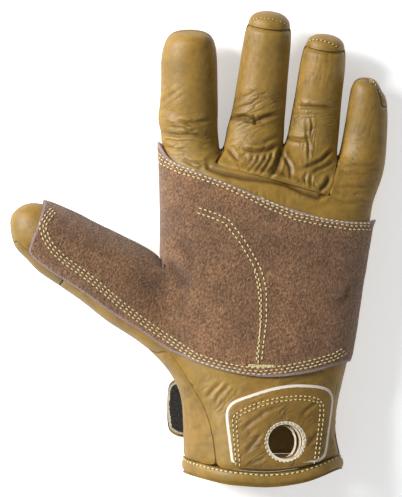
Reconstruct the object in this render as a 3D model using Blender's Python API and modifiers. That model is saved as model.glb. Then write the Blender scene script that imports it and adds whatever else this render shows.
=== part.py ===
"""A full-finger leather belay glove for the left hand, lying on its back with the palm up.

Grain leather makes the hand: a palm panel with the fronts of the thumb, index and little fingers, one front
panel for the middle and ring fingers, a back panel, and a fourchette between each two fingers. One suede
patch lies over the palm and the thumb. The cuff has a rolled hem, a tab with a hole for a clip, and a
hook-and-loop strap across the back. +Y runs to the fingertips, +X to the little finger, +Z out of the palm.
"""

import math
from collections import namedtuple

import bpy
from mathutils import Vector
from mathutils.bvhtree import BVHTree
from mathutils.interpolate import poly_3d_calc

# The hand, from the mouth of the cuff to the crotch beside the middle finger.
HAND_LENGTH = 0.1715
PALM_WIDTH = 0.1177
HAND_DEPTH = 0.0420

# Leather and suede thickness, and the clearances between neighbours and between layers.
LEATHER = 0.0014
SUEDE = 0.0015
SEAM_GAP = 0.0004
LAYER_GAP = 0.0004
HEM_THICKNESS = 0.0029

# Fingers, each with its own length and width. Their depth is a share of their width.
INDEX_LENGTH = 0.0575
MIDDLE_LENGTH = 0.0755
RING_LENGTH = 0.0645
LITTLE_LENGTH = 0.0508
INDEX_WIDTH = 0.0296
MIDDLE_WIDTH = 0.0262
RING_WIDTH = 0.0248
LITTLE_WIDTH = 0.0220
FINGER_FLATNESS = 0.92

# The thumb leaves the side of the hand at this angle from the fingers' direction, and rises out of
# its plane.
THUMB_LENGTH = 0.0824
THUMB_WIDTH = 0.0350
THUMB_DEPTH = 0.0290
THUMB_ANGLE = 61.7
THUMB_BEND = 12.0
THUMB_RISE = 10.0
THUMB_ACROSS = -0.472
THUMB_ALONG = 0.540
# Its rings slant back to the fingers' side at the root and forward at the tip, and the tip is drawn to that
# side by a share of its width.
THUMB_ROOT_SLANT = 0.30
THUMB_TIP_SLANT = -0.20
THUMB_DRAWN = 0.075

# The tab on the cuff, its hole and the strap across the back.
TAB_WIDTH = 0.0520
TAB_HEIGHT = 0.0440
TAB_CORNER = 0.0090
HOLE_DIAMETER = 0.0172
STRAP_WIDTH = 0.0315
STRAP_LENGTH = 0.0800
PAD_THICKNESS = 0.0012

# Cage vertices stand outside the smooth surface that they shape, by this much on a loop of eight.
LOOP_SWELL = 1.105
# The nine columns of the hand's cage, as shares of its half width: two for each finger, and its two edges.
COLUMNS = (-0.91, -0.73, -0.44, -0.17, 0.086, 0.33, 0.56, 0.776, 0.92)

# One row for each section of the hand, from the mouth of the cuff to the finger roots. thumb to little are
# how far the section reaches on the palm side at five places across it, back on the back, and edge at the
# thumb's side, as shares of HAND_LENGTH. left and right are its edges, as shares of PALM_WIDTH from the
# centre line. floor and top are its lowest and highest point, as shares of HAND_DEPTH. seam is where the
# side seam lies: -1 is the edge.
Row = namedtuple("Row", "name thumb index middle ring little back edge left right floor top seam")
HAND_ROWS = (
    Row("mouth", 0.036, 0.010, 0.001, 0.016, 0.053, 0.041, 0.038, 0.370, 0.350, 0.120, 1.05, -0.54),
    Row("hem", 0.078, 0.048, 0.040, 0.054, 0.088, 0.083, 0.080, 0.370, 0.346, 0.120, 1.06, -0.54),
    Row("cuff", 0.142, 0.127, 0.118, 0.130, 0.148, 0.142, 0.142, 0.367, 0.318, 0.120, 1.05, -0.57),
    Row("wrist", 0.213, 0.204, 0.198, 0.204, 0.213, 0.207, 0.210, 0.369, 0.320, 0.130, 1.02, -0.64),
    Row("heel", 0.284, 0.263, 0.251, 0.266, 0.287, 0.281, 0.282, 0.370, 0.342, 0.160, 1.00, -0.84),
    Row("patch_foot", 0.399, 0.334, 0.302, 0.320, 0.361, 0.370, 0.384, 0.465, 0.378, 0.030, 0.99, -0.93),
    Row("thenar", 0.533, 0.473, 0.450, 0.450, 0.459, 0.497, 0.529, 0.452, 0.406, 0.0, 0.97, -1.0),
    Row("thumb_crotch", 0.640, 0.604, 0.574, 0.559, 0.559, 0.627, 0.639, 0.448, 0.425, 0.0, 0.93, -1.0),
    Row("thenar_top", 0.790, 0.782, 0.672, 0.663, 0.663, 0.740, 0.790, 0.442, 0.454, 0.0, 0.88, -1.0),
    Row("patch_head", 0.987, 0.920, 0.849, 0.796, 0.790, 0.843, 1.044, 0.458, 0.483, 0.0, 0.80, -1.0),
    Row("knuckle", 1.027, 0.942, 0.890, 0.840, 0.830, 0.905, 1.056, 0.459, 0.492, 0.0, 0.74, -1.0),
)
CUFF, WRIST, PATCH_FOOT, THENAR, THUMB_CROTCH, PATCH_HEAD, KNUCKLE = 2, 3, 5, 6, 7, 9, 10

# The row at the finger roots, as shares across and along and of HAND_DEPTH, on the palm side and on the
# back. Every second place is a crotch between two fingers.
Root = namedtuple("Root", "across along height back_along back_height")
ROOTS = (
    Root(-0.438, 1.078, 0.46, 1.060, 0.130),
    Root(-0.325, 1.040, 0.66, 1.020, 0.000),
    Root(-0.176, 0.970, 0.52, 0.985, 0.060),
    Root(-0.045, 0.957, 0.68, 0.985, 0.000),
    Root(0.086, 0.992, 0.50, 1.000, 0.060),
    Root(0.205, 0.952, 0.66, 0.975, 0.000),
    Root(0.322, 0.955, 0.48, 0.968, 0.060),
    Root(0.418, 0.915, 0.60, 0.925, 0.000),
    Root(0.497, 0.880, 0.42, 0.890, 0.110),
)
WEB_HEIGHT = 0.27
SIDE_HEIGHT = 0.30

# One row for each ring of a finger: how far along it lies, its width and depth as shares of the finger's
# own, and how far a fold presses the front in there, as a share of the depth.
Ring = namedtuple("Ring", "at width depth fold")
INDEX_RINGS = (
    Ring(0.10, 1.10, 1.00, 0.00),
    Ring(0.19, 1.06, 1.00, 0.08),
    Ring(0.29, 1.04, 1.00, 0.00),
    Ring(0.54, 0.98, 0.98, 0.00),
    Ring(0.75, 0.965, 0.95, 0.00),
    Ring(0.91, 0.88, 0.86, 0.00),
    Ring(0.975, 0.65, 0.60, 0.00),
)
MIDDLE_RINGS = (
    Ring(0.17, 1.13, 1.00, 0.00),
    Ring(0.27, 1.05, 1.00, 0.15),
    Ring(0.36, 1.06, 1.00, 0.00),
    Ring(0.57, 0.98, 0.98, 0.03),
    Ring(0.75, 0.97, 0.95, 0.00),
    Ring(0.91, 0.91, 0.86, 0.00),
    Ring(0.975, 0.68, 0.60, 0.00),
)
RING_RINGS = (
    Ring(0.16, 1.07, 1.00, 0.09),
    Ring(0.27, 1.07, 1.00, 0.00),
    Ring(0.42, 1.01, 1.00, 0.08),
    Ring(0.55, 0.98, 0.98, 0.00),
    Ring(0.75, 0.975, 0.95, 0.00),
    Ring(0.91, 0.89, 0.86, 0.00),
    Ring(0.975, 0.66, 0.60, 0.00),
)
LITTLE_RINGS = (
    Ring(0.20, 1.12, 1.00, 0.00),
    Ring(0.38, 1.06, 1.00, 0.04),
    Ring(0.57, 1.01, 0.98, 0.00),
    Ring(0.75, 0.94, 0.95, 0.00),
    Ring(0.91, 0.82, 0.86, 0.00),
    Ring(0.975, 0.56, 0.60, 0.00),
)
THUMB_RINGS = (
    Ring(0.16, 1.16, 1.10, 0.00),
    Ring(0.36, 1.08, 1.04, 0.00),
    Ring(0.56, 1.01, 1.00, 0.00),
    Ring(0.73, 0.98, 0.96, 0.00),
    Ring(0.86, 0.89, 0.86, 0.00),
    Ring(0.965, 0.64, 0.60, 0.00),
)

# Each finger's root across and along, its lean to the little-finger side and its curl out of the palm's
# plane in degrees, how its rings slant at the root, and how far its tip is drawn to the thumb's side, as a
# share of its width.
Finger = namedtuple("Finger", "name length width across along lean curl slant drawn rings")
FINGERS = (
    Finger("index", INDEX_LENGTH, INDEX_WIDTH, -0.322, 1.012, 1.2, 16, 0.55, 0.0, INDEX_RINGS),
    Finger("middle", MIDDLE_LENGTH, MIDDLE_WIDTH, -0.041, 0.965, 6.6, 18, 0.0, 0.0, MIDDLE_RINGS),
    Finger("ring", RING_LENGTH, RING_WIDTH, 0.205, 0.960, 7.2, 20, 0.1, 0.0, RING_RINGS),
    Finger("little", LITTLE_LENGTH, LITTLE_WIDTH, 0.425, 0.910, 6.0, 18, 0.30, 0.10, LITTLE_RINGS),
)
# The back of a finger is flatter than its front.
BACK_FLATNESS = 0.94

# The pieces that the skin of the hand is cut into, and the patches that lie over them.
PALM, FRONT, BACK, WEB_ONE, WEB_TWO, WEB_THREE, ROLL = range(7)
BARE, SUEDE_PATCH, LOOP_PATCH = range(3)


# Start from an empty file, with one collection for the glove and one for its cutters.
for old in list(bpy.data.objects):
    bpy.data.objects.remove(old, do_unlink=True)
glove = bpy.data.collections.new("belay_glove")
bpy.context.scene.collection.children.link(glove)
cutters = bpy.data.collections.new("cutters")
cutters.hide_render = True
bpy.context.scene.collection.children.link(cutters)


# Materials and meshes
def material(name, colour, roughness):
    made = bpy.data.materials.new(name)
    made.use_nodes = True
    shader = made.node_tree.nodes["Principled BSDF"]
    shader.inputs["Base Color"].default_value = (*colour, 1.0)
    shader.inputs["Roughness"].default_value = roughness
    return made


def add_object(name, vertices, faces, look, collection=glove):
    mesh = bpy.data.meshes.new(name)
    mesh.from_pydata([tuple(vertex) for vertex in vertices], [], faces)
    mesh.materials.append(look)
    made = bpy.data.objects.new(name, mesh)
    collection.objects.link(made)
    return made


def finished_mesh(source):
    graph = bpy.context.evaluated_depsgraph_get()
    return bpy.data.meshes.new_from_object(source.evaluated_get(graph))


def apply_modifiers(target):
    mesh = finished_mesh(target)
    target.modifiers.clear()
    target.data = mesh


# The cage of the hand: each row is a loop of twenty, nine across the palm, nine across the back, two sides.
PLACES = (-0.91, -0.44, 0.086, 0.56, 0.92)


def reach_at(row, across):
    """How far the row reaches at this place across it, read between its five places."""
    values = (row.thumb, row.index, row.middle, row.ring, row.little)
    for low, high, first, second in zip(PLACES, PLACES[1:], values, values[1:]):
        if across <= high:
            return first + (second - first) * max(0.0, across - low) / (high - low)
    return row.little


def hand_loop(row):
    centre = PALM_WIDTH * (row.right - row.left) / 2
    half = PALM_WIDTH * (row.right + row.left) / 2
    floor = HAND_DEPTH * row.floor
    top = HAND_DEPTH * row.top
    middle = floor + (top - floor) * 0.46
    palm = []
    back = []
    for column in COLUMNS:
        across = row.seam + (column + 1) / 2 * (1 - row.seam)
        reach = reach_at(row, across)
        palm_rise = max(0.0, 1 - abs(across) ** 2.4) ** 0.55
        back_drop = min(1.0, 1.18 * max(0.0, 1 - abs(column) ** 4) ** 0.5)
        palm_height = middle + (top - middle) * palm_rise
        back_height = middle - (middle - floor) * back_drop
        # The thumb's side of the back follows the edge.
        back_reach = row.back + (row.edge - row.back) * max(0.0, -column - 0.4) / 0.6
        palm.append(Vector((centre + half * across, HAND_LENGTH * reach, palm_height)))
        back.append(Vector((centre + half * column, HAND_LENGTH * back_reach, back_height)))
    # Above the cuff the palm side runs straight out to the little finger's side of the hand.
    pull = 0.1 if row.seam == -1 else 0.5
    left = Vector((centre - half, HAND_LENGTH * row.edge, middle))
    right = Vector((centre + half, HAND_LENGTH * (row.little + (row.back - row.little) * pull), middle))
    return palm + [right] + back[::-1] + [left]


def root_loop():
    palm = []
    back = []
    for r in ROOTS:
        palm.append(Vector((PALM_WIDTH * r.across, HAND_LENGTH * r.along, HAND_DEPTH * r.height)))
        back.append(Vector((PALM_WIDTH * r.across, HAND_LENGTH * r.back_along, HAND_DEPTH * r.back_height)))
    left = (palm[0] + back[0]) / 2
    left.x -= INDEX_WIDTH * 0.11
    left.z = HAND_DEPTH * SIDE_HEIGHT
    right = (palm[8] + back[8]) / 2
    right.x += LITTLE_WIDTH * 0.11
    right.z = HAND_DEPTH * SIDE_HEIGHT
    return palm + [right] + back[::-1] + [left]


OCTAGON = [(math.cos(math.radians(angle)), math.sin(math.radians(angle))) for angle in
           (135, 90, 45, 0, -45, -90, -135, 180)]


def ring_of_eight(centre, ahead, up, width, depth, slant, fold):
    side = ahead.cross(up)
    places = []
    for right, rise in OCTAGON:
        rise *= BACK_FLATNESS if rise < 0 else 1 - 2 * fold
        across = right * width / 2 * LOOP_SWELL
        lift = rise * depth / 2 * LOOP_SWELL
        places.append(centre + side * across + up * lift - ahead * (slant * across))
    return places


def finger_rings(finger):
    """Rings along an arc that lies on the floor at the root and curls up to the tip."""
    lean = math.radians(finger.lean)
    flat = Vector((math.sin(lean), math.cos(lean), 0))
    depth = finger.width * FINGER_FLATNESS
    root = Vector((PALM_WIDTH * finger.across, HAND_LENGTH * finger.along, depth / 2))
    curl = math.radians(finger.curl)
    beside = Vector((-flat.y, flat.x, 0))
    rings = []
    for at, swell, deep, fold in finger.rings:
        rise = finger.length * curl / 2 * at * at
        lift = curl * at
        ahead = (flat * math.cos(lift) + Vector((0, 0, math.sin(lift)))).normalized()
        up = (Vector((0, 0, math.cos(lift))) - flat * math.sin(lift)).normalized()
        centre = root + flat * (finger.length * at) + Vector((0, 0, rise))
        centre += beside * (finger.width * finger.drawn * max(0.0, at - 0.7) / 0.3)
        slant = finger.slant * (1 - at) ** 1.5
        rings.append(ring_of_eight(centre, ahead, up, finger.width * swell, depth * deep, slant, fold))
    tip = root + flat * (finger.length * 1.012) + Vector((0, 0, finger.length * curl / 2))
    return rings, tip + beside * (finger.width * finger.drawn)


def thumb_rings():
    """Rings along the thumb, whose direction turns away from the fingers towards its tip."""
    place = Vector((PALM_WIDTH * THUMB_ACROSS, HAND_LENGTH * THUMB_ALONG, HAND_DEPTH * 0.46))
    lift = math.radians(THUMB_RISE)
    rings = []
    last = 0.0
    for at, swell, deep, fold in THUMB_RINGS:
        turn = math.radians(THUMB_ANGLE + THUMB_BEND * ((at + last) / 2 - 0.5))
        flat = Vector((-math.sin(turn), math.cos(turn), 0))
        ahead = (flat * math.cos(lift) + Vector((0, 0, math.sin(lift)))).normalized()
        up = (Vector((0, 0, math.cos(lift))) - flat * math.sin(lift)).normalized()
        place = place + ahead * (THUMB_LENGTH * (at - last) / math.cos(lift))
        last = at
        slant = THUMB_ROOT_SLANT * (1 - at) ** 2 + THUMB_TIP_SLANT * at ** 4
        drawn = ahead.cross(up) * (THUMB_WIDTH * THUMB_DRAWN * max(0.0, at - 0.6) / 0.4)
        width = THUMB_WIDTH * swell
        rings.append(ring_of_eight(place + drawn, ahead, up, width, THUMB_DEPTH * deep, slant, fold))
    tip = place + drawn + ahead * (THUMB_LENGTH * (1.035 - last))
    return rings, tip


# The whole skin as one cage. Every face is marked with the piece it belongs to and the patch over it.
cage_vertices = []
cage_faces = []
cage_marks = []


def add_loop(places):
    start = len(cage_vertices)
    cage_vertices.extend(places)
    return list(range(start, start + len(places)))


def add_face(corners, piece, patch=BARE):
    cage_faces.append(corners)
    cage_marks.append(piece * 3 + patch)


def hand_mark(row, column):
    piece = PALM if column <= 8 or (column == 19 and row >= PATCH_FOOT) else BACK
    if row == 0:
        return ROLL, BARE
    if row == KNUCKLE and 2 <= column <= 5:
        return FRONT, BARE
    if row in (CUFF, WRIST) and 14 <= column <= 16:
        return BACK, LOOP_PATCH
    on_patch = PATCH_FOOT <= row < PATCH_HEAD and piece == PALM
    return piece, SUEDE_PATCH if on_patch else BARE


hand = [add_loop(hand_loop(row)) for row in HAND_ROWS]
hand.append(add_loop(root_loop()))
for row in range(len(hand) - 1):
    for column in range(20):
        if row in (PATCH_FOOT, THENAR) and column >= 18:
            continue
        after = (column + 1) % 20
        corners = (hand[row][column], hand[row][after], hand[row + 1][after], hand[row + 1][column])
        add_face(corners, *hand_mark(row, column))


def add_branch(root, rings, tip, pieces, cap, patches=(BARE,) * 8, patch_rings=0):
    """A finger or the thumb: pieces names the owner of each of its eight sides, ring by ring."""
    below = root
    for number, places in enumerate(rings):
        loop = add_loop(places)
        for column in range(8):
            after = (column + 1) % 8
            patch = patches[column] if number < patch_rings else BARE
            add_face((below[column], below[after], loop[after], loop[column]), pieces[number][column], patch)
        below = loop
    end = add_loop([tip])[0]
    add_face((below[0], below[1], end, below[7]), cap[0])
    add_face((below[1], below[2], below[3], end), cap[1])
    add_face((end, below[3], below[4], below[5]), cap[2])
    add_face((below[7], end, below[5], below[6]), cap[3])


# The webs between the fingers, then the four fingers and the thumb.
roots = hand[-1]
webs = []
for place in (2, 4, 6):
    middle = (cage_vertices[roots[place]] + cage_vertices[roots[18 - place]]) / 2
    middle.z = HAND_DEPTH * WEB_HEIGHT
    webs.append(add_loop([middle])[0])
finger_roots = (
    (roots[0], roots[1], roots[2], webs[0], roots[16], roots[17], roots[18], roots[19]),
    (roots[2], roots[3], roots[4], webs[1], roots[14], roots[15], roots[16], webs[0]),
    (roots[4], roots[5], roots[6], webs[2], roots[12], roots[13], roots[14], webs[1]),
    (roots[6], roots[7], roots[8], roots[9], roots[10], roots[11], roots[12], webs[2]),
)
# The eight sides of a finger run from the left of its front over its right side to its back and left side.
INDEX_SIDES = (PALM, PALM, PALM, WEB_ONE, BACK, BACK, BACK, PALM)
MIDDLE_SIDES = (FRONT, FRONT, FRONT, WEB_TWO, BACK, BACK, WEB_ONE, FRONT)
RING_SIDES = (FRONT, FRONT, FRONT, WEB_THREE, BACK, BACK, WEB_TWO, FRONT)
LITTLE_SIDES = (PALM, PALM, PALM, BACK, BACK, BACK, WEB_THREE, PALM)
FRONT_OVER = (PALM, PALM, PALM, BACK, BACK, BACK, BACK, PALM)
BACK_ROUND = (PALM, PALM, BACK, BACK, BACK, BACK, WEB_THREE, PALM)
BACK_UNDER = (PALM, PALM, PALM, BACK, BACK, BACK, BACK, BACK)
ALL_BACK = (BACK,) * 8
SPLIT_CAP = (PALM, PALM, BACK, BACK)
# The front of the index finger runs on over its tip, the back wraps over the tips of the middle and ring
# fingers, and on the little finger it comes round from the outer side.
finger_pieces = (
    (INDEX_SIDES,) * 6 + (FRONT_OVER,),
    (MIDDLE_SIDES,) * 6 + (ALL_BACK,),
    (RING_SIDES,) * 6 + (ALL_BACK,),
    (LITTLE_SIDES,) * 4 + (BACK_ROUND, (PALM, PALM, BACK, BACK, BACK, BACK, BACK, PALM)),
)
finger_caps = (SPLIT_CAP, (BACK,) * 4, (BACK,) * 4, (PALM, BACK, BACK, BACK))
for finger, root, pieces, cap in zip(FINGERS, finger_roots, finger_pieces, finger_caps):
    rings, tip = finger_rings(finger)
    add_branch(root, rings, tip, pieces, cap)

thumb_root = (
    hand[PATCH_FOOT][0], hand[THENAR][0], hand[THUMB_CROTCH][0], hand[THUMB_CROTCH][19],
    hand[THUMB_CROTCH][18], hand[THENAR][18], hand[PATCH_FOOT][18], hand[PATCH_FOOT][19],
)
rings, tip = thumb_rings()
thumb_pieces = (FRONT_OVER,) * 3 + (BACK_UNDER,) * 3
thumb_patches = (SUEDE_PATCH, SUEDE_PATCH, SUEDE_PATCH, BARE, BARE, BARE, BARE, BARE)
add_branch(thumb_root, rings, tip, thumb_pieces, SPLIT_CAP, thumb_patches, 5)

# Round the cage into the skin, and note where the outward side of the leather faces at every vertex.
cage = add_object("skin_cage", cage_vertices, cage_faces, material("cage", (0.5, 0.5, 0.5), 0.8), cutters)
for spare in range(20):
    cage.data.materials.append(cage.data.materials[0])
for face, mark in zip(cage.data.polygons, cage_marks):
    face.material_index = mark
rounding = cage.modifiers.new("rounding", "SUBSURF")
rounding.levels = 1
rounding.render_levels = 1
apply_modifiers(cage)
cage.display_type = "WIRE"
skin = cage.data
skin_places = [vertex.co.copy() for vertex in skin.vertices]
skin_normals = [Vector(vertex.normal) for vertex in skin.vertices]
skin_faces = [tuple(face.vertices) for face in skin.polygons]
skin_pieces = [face.material_index // 3 for face in skin.polygons]
skin_patches = [face.material_index % 3 for face in skin.polygons]


# Cut a piece out of the skin: its edge moves in by half the seam gap, and its wall grows inward.
def edge_shifts(faces, gap):
    """How far every edge vertex of these faces moves inside them."""
    owners = {}
    for face in faces:
        for first, second in zip(face, face[1:] + face[:1]):
            owners.setdefault(frozenset((first, second)), []).append((face, first, second))
    inward = {}
    rim = []
    for uses in owners.values():
        if len(uses) > 1:
            continue
        face, first, second = uses[0]
        rim.append((first, second))
        middle = sum((skin_places[corner] for corner in face), Vector()) / len(face)
        line = (skin_places[second] - skin_places[first]).normalized()
        toward = middle - skin_places[first]
        toward = (toward - line * toward.dot(line)).normalized()
        inward.setdefault(first, []).append(toward)
        inward.setdefault(second, []).append(toward)
    shifts = {}
    for vertex, directions in inward.items():
        total = sum(directions, Vector())
        if total.length < 0.2:
            shifts[vertex] = Vector()
            continue
        mitre = total.normalized()
        shifts[vertex] = mitre * (gap / 2 / max(0.5, mitre.dot(directions[0])))
    return shifts, rim


def cut_piece(name, keep, look, outside, thickness, gap=SEAM_GAP):
    """Both sides of the wall lie along the skin's own normals, so that neighbours never cross."""
    faces = [skin_faces[index] for index in keep]
    shifts, rim = edge_shifts(faces, gap)
    used = sorted({corner for face in faces for corner in face})
    outer = {}
    inner = {}
    places = []
    for vertex in used:
        base = skin_places[vertex] + shifts.get(vertex, Vector())
        outer[vertex] = len(places)
        places.append(base + skin_normals[vertex] * outside)
        inner[vertex] = len(places)
        places.append(base + skin_normals[vertex] * (outside - thickness))
    shell = []
    for face in faces:
        # Every layer is split along the same diagonal, so that layers over a twisted face stay apart.
        first, second, third, fourth = face
        across = (skin_places[first] - skin_places[third]).length
        other = (skin_places[second] - skin_places[fourth]).length
        halves = ((first, second, third), (first, third, fourth))
        if other < across:
            halves = ((first, second, fourth), (second, third, fourth))
        for half in halves:
            shell.append(tuple(outer[corner] for corner in half))
            shell.append(tuple(inner[corner] for corner in reversed(half)))
    for first, second in rim:
        shell.append((outer[second], outer[first], inner[first], inner[second]))
    return add_object(name, places, shell, look)


def faces_of(piece):
    return [index for index, owner in enumerate(skin_pieces) if owner == piece]


def faces_under(patch):
    return [index for index, over in enumerate(skin_patches) if over == patch]


grain = (0.50, 0.33, 0.11)
suede = (0.26, 0.15, 0.09)
palm_panel = cut_piece("palm_panel", faces_of(PALM), material("palm_leather", grain, 0.55), 0, LEATHER)
cut_piece("finger_front_panel", faces_of(FRONT), material("front_leather", grain, 0.55), 0, LEATHER)
back_panel = cut_piece("back_panel", faces_of(BACK), material("back_leather", grain, 0.6), 0, LEATHER)
cut_piece("fourchette_index_middle", faces_of(WEB_ONE), material("web_leather_1", grain, 0.6), 0, LEATHER)
cut_piece("fourchette_middle_ring", faces_of(WEB_TWO), material("web_leather_2", grain, 0.6), 0, LEATHER)
cut_piece("fourchette_ring_little", faces_of(WEB_THREE), material("web_leather_3", grain, 0.6), 0, LEATHER)
hem_look = material("hem_leather", grain, 0.5)
cut_piece("hem_roll", faces_of(ROLL), hem_look, HEM_THICKNESS * 0.3, HEM_THICKNESS)
patch_rise = LAYER_GAP + SUEDE
cut_piece("suede_patch", faces_under(SUEDE_PATCH), material("brown_suede", suede, 0.95), patch_rise, SUEDE)
loop_look = material("loop_tape", (0.02, 0.02, 0.02), 0.95)
cut_piece("loop_pad", faces_under(LOOP_PATCH), loop_look, LAYER_GAP + PAD_THICKNESS, PAD_THICKNESS)


# The tab on the cuff: a rounded outline around a hole, laid over the palm side of the skin.
# Its corners are shares of its width and height from its centre, and roundness is a share of TAB_CORNER.
Corner = namedtuple("Corner", "across along roundness")
TAB_CORNERS = (
    Corner(-0.456, -0.418, 0.2),
    Corner(0.000, -0.458, 1.5),
    Corner(0.431, -0.350, 0.2),
    Corner(0.524, 0.475, 0.8),
    Corner(0.074, 0.544, 1.5),
    Corner(-0.534, 0.300, 0.8),
)
TAB_ACROSS = 0.065
TAB_ALONG = 0.1706
HOLE_ACROSS = 0.088
HOLE_ALONG = 0.1366
TAB_GAP = 0.0006
skin_tree = BVHTree.FromPolygons([tuple(place) for place in skin_places], skin_faces)


TAB_STEPS = 44


def even_outline(outline, steps):
    """The same closed outline with its points at even distances."""
    gone = [0.0]
    closed = outline + outline[:1]
    for start, finish in zip(closed, closed[1:]):
        gone.append(gone[-1] + (finish - start).length)
    even = []
    for step in range(steps):
        goal = gone[-1] * step / steps
        number = max(index for index, distance in enumerate(gone[:-1]) if distance <= goal)
        span = gone[number + 1] - gone[number]
        even.append(closed[number].lerp(closed[number + 1], (goal - gone[number]) / max(span, 1e-9)))
    return even


def rounded_outline(corners, width, height, radius, centre):
    """Points along an outline whose corners are replaced with short curves."""
    marks = [Vector((corner.across * width, corner.along * height)) + centre for corner in corners]
    outline = []
    for number, corner in enumerate(corners):
        here = marks[number]
        before = (marks[number - 1] - here).normalized()
        after = (marks[(number + 1) % len(marks)] - here).normalized()
        reach = radius * corner.roundness
        for step in range(6):
            share = step / 5
            start = here + before * (reach * (1 - share))
            finish = here + after * (reach * share)
            outline.append(start.lerp(finish, share))
    return even_outline(outline, TAB_STEPS)


def on_skin(flat):
    """The point of the palm side of the skin over a flat place, and its outward direction there."""
    spot, normal, index, distance = skin_tree.ray_cast(Vector((flat.x, flat.y, 1.0)), Vector((0, 0, -1)))
    corners = skin_faces[index]
    weights = poly_3d_calc([skin_places[corner] for corner in corners], spot)
    smooth = sum((skin_normals[corner] * weight for corner, weight in zip(corners, weights)), Vector())
    return spot, smooth.normalized()


tab_centre = Vector((PALM_WIDTH * TAB_ACROSS, HAND_LENGTH * TAB_ALONG))
hole_centre = Vector((PALM_WIDTH * HOLE_ACROSS, HAND_LENGTH * HOLE_ALONG))
tab_outline = rounded_outline(TAB_CORNERS, TAB_WIDTH, TAB_HEIGHT, TAB_CORNER, tab_centre)
tab_count = len(tab_outline)
tab_places = []
for ring in range(5):
    for edge in tab_outline:
        toward = (edge - hole_centre).normalized()
        near = hole_centre + toward * (HOLE_DIAMETER / 2)
        spot, normal = on_skin(near.lerp(edge, ring / 4))
        tab_places.append(spot + normal * (TAB_GAP + LEATHER))
        tab_places.append(spot + normal * TAB_GAP)
tab_faces = []
for ring in range(4):
    for step in range(tab_count):
        here = 2 * (ring * tab_count + step)
        beside = 2 * (ring * tab_count + (step + 1) % tab_count)
        up = 2 * tab_count
        tab_faces.append((here, here + up, beside + up, beside))
        tab_faces.append((here + 1, beside + 1, beside + up + 1, here + up + 1))
for step in range(tab_count):
    beside = (step + 1) % tab_count
    rim = 2 * 4 * tab_count
    tab_faces.append((2 * step, 2 * beside, 2 * beside + 1, 2 * step + 1))
    tab_faces.append((rim + 2 * beside, rim + 2 * step, rim + 2 * step + 1, rim + 2 * beside + 1))
add_object("clip_tab", tab_places, tab_faces, material("tab_leather", grain, 0.5))

# The hole goes on through the palm panel, a little narrower and set towards the thumb.
bpy.ops.mesh.primitive_cylinder_add(vertices=32, radius=HOLE_DIAMETER * 0.46, depth=HAND_DEPTH)
drill = bpy.context.object
drill.name = "hole_cutter"
for owner in list(drill.users_collection):
    owner.objects.unlink(drill)
cutters.objects.link(drill)
drill.location = (hole_centre.x - HOLE_DIAMETER * 0.05, hole_centre.y, HAND_DEPTH * 1.2)
drill.hide_render = True
drill.display_type = "WIRE"
hole = palm_panel.modifiers.new("hole", "BOOLEAN")
hole.operation = "DIFFERENCE"
hole.object = drill
hole.solver = "EXACT"
apply_modifiers(palm_panel)

# The strap lies flat under the back of the cuff. It is sewn on by the little finger's side, where it rises
# to the leather, and its free end shows beyond the thumb's side. lift is a share of its own rise.
StrapPlace = namedtuple("StrapPlace", "along lift width")
STRAP_PLACES = (
    StrapPlace(0.0, 0.0, 0.62),
    StrapPlace(0.02, 0.0, 0.80),
    StrapPlace(0.055, 0.0, 0.93),
    StrapPlace(0.11, 0.0, 1.0),
    StrapPlace(0.35, 0.0, 1.0),
    StrapPlace(0.72, 0.0, 1.0),
    StrapPlace(0.78, 0.12, 1.0),
    StrapPlace(0.84, 0.88, 1.0),
    StrapPlace(0.90, 1.0, 1.0),
    StrapPlace(1.0, 1.0, 1.0),
)
STRAP_START = -0.4155
STRAP_MIDDLE = 0.2225


def strip(name, stations, start, thickness, lift, width, look):
    """A flat strip that runs to the little-finger side through stations (along, lift, width)."""
    middle = HAND_LENGTH * STRAP_MIDDLE
    places = []
    for station in stations:
        across = PALM_WIDTH * STRAP_START + start + station[0]
        half = width / 2 * station[2]
        for edge, height in ((-half, 0), (half, 0), (half, thickness), (-half, thickness)):
            places.append(Vector((across, middle + edge, lift + station[1] + height)))
    last = 4 * (len(stations) - 1)
    faces = [(0, 3, 2, 1), (last, last + 1, last + 2, last + 3)]
    for step in range(len(stations) - 1):
        for side in range(4):
            here = 4 * step + side
            beside = 4 * step + (side + 1) % 4
            faces.append((here, beside, beside + 4, here + 4))
    return add_object(name, places, faces, look)


strap_rise = HAND_DEPTH * 0.12 - LAYER_GAP - LEATHER
strap_stations = [(STRAP_LENGTH * p.along, strap_rise * p.lift, p.width) for p in STRAP_PLACES]
strip("closure_strap", strap_stations, 0, LEATHER, 0, STRAP_WIDTH, material("strap_leather", grain, 0.6))
hook_stations = [(STRAP_LENGTH * p.along * 0.9, 0, p.width) for p in STRAP_PLACES[:5]]
hook_look = material("hook_tape", (0.015, 0.015, 0.015), 0.9)
strip("hook_pad", hook_stations, 0.0012, PAD_THICKNESS, LEATHER + LAYER_GAP, STRAP_WIDTH * 0.92, hook_look)

# Smooth the look of the leather without changing its shape.
for piece in glove.objects:
    for face in piece.data.polygons:
        face.use_smooth = piece.name not in ("closure_strap", "hook_pad")

# Set the origin at the middle of the base.
everywhere = [vertex.co for piece in glove.objects for vertex in piece.data.vertices]
low = [min(place[axis] for place in everywhere) for axis in range(3)]
high = [max(place[axis] for place in everywhere) for axis in range(3)]
origin = Vector(((low[0] + high[0]) / 2, (low[1] + high[1]) / 2, low[2]))
for piece in glove.objects:
    for vertex in piece.data.vertices:
        vertex.co -= origin
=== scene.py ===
"""The looks of the belay glove: grain leather, a suede patch, stitching, raw edges, hem and hook tape.

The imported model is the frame. Every leather piece is a finer copy of its solid, with its folds and seams
pressed in, and the stitches are sewn through it. The origin is the middle of the base. +Y runs to the
fingertips, +X to the little finger, and +Z out of the palm.
"""
import math
from collections import namedtuple

import bmesh
import bpy
import numpy as np
from mathutils import Matrix, Vector, noise as perlin
from mathutils.bvhtree import BVHTree


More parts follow.
